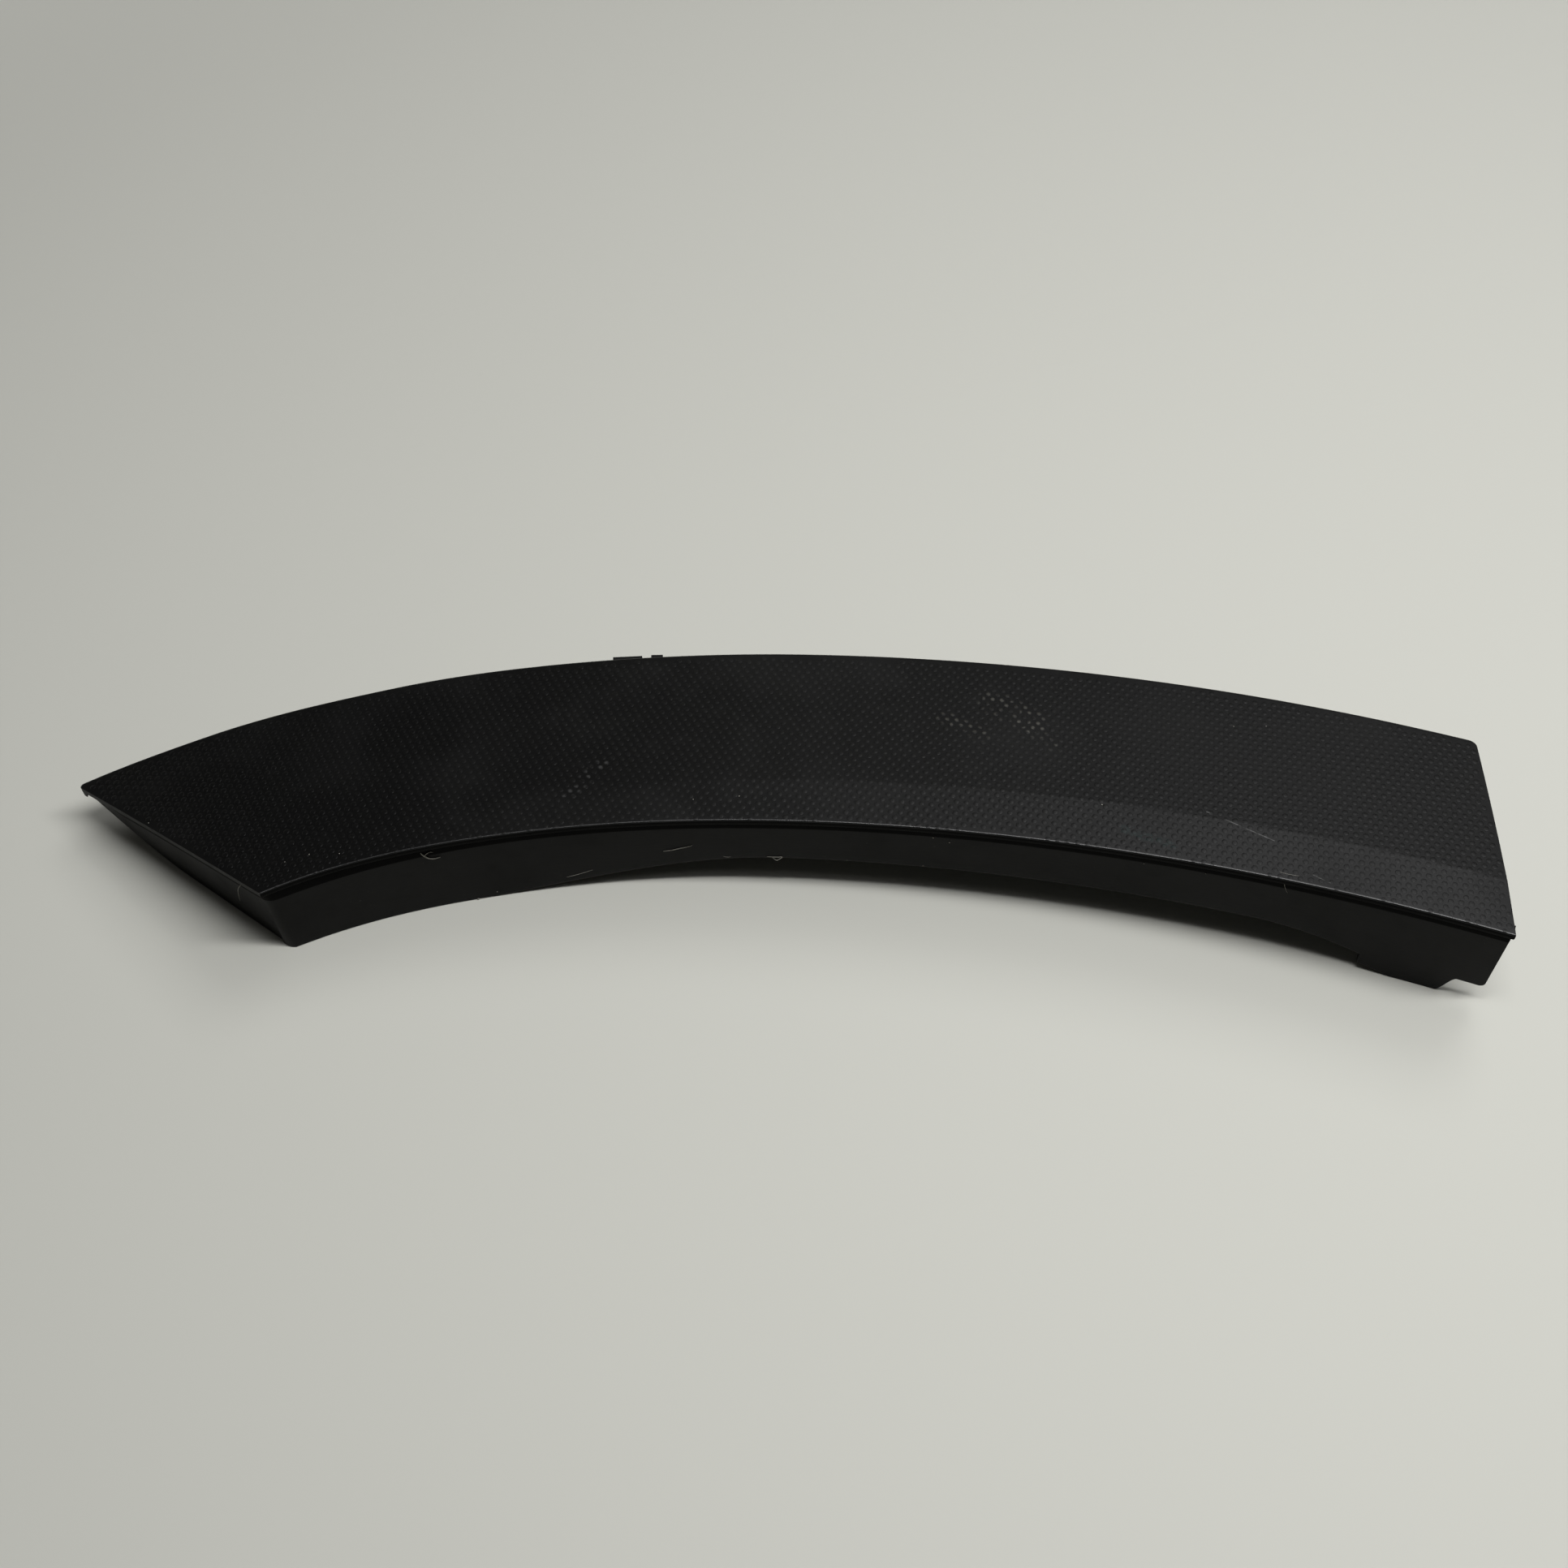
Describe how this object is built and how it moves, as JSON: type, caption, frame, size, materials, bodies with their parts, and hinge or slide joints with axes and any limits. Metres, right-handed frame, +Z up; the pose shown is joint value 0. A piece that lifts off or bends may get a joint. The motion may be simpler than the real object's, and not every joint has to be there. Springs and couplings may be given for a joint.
{
  "type": "wheel arch trim",
  "caption": "Moulded wheel arch trim: a curved, grained outer face with a return flange along the arch edge, a slanted end wall and clip seats on its hidden side.",
  "frame": {"origin": "on the floor, under the middle of the part's box as it lies with its outer face up", "axes": "+X from the front tip to the rear end, +Y from the wheel opening to the body side, +Z up out of the outer face"},
  "size_m": [0.4624, 0.1187, 0.0456],
  "materials": {
    "black_plastic": "black moulded plastic, finely pimpled on the outer face and plain on the flange"
  },
  "bodies": {
    "root": {"arch_trim": "black_plastic"}
  },
  "joints": []
}
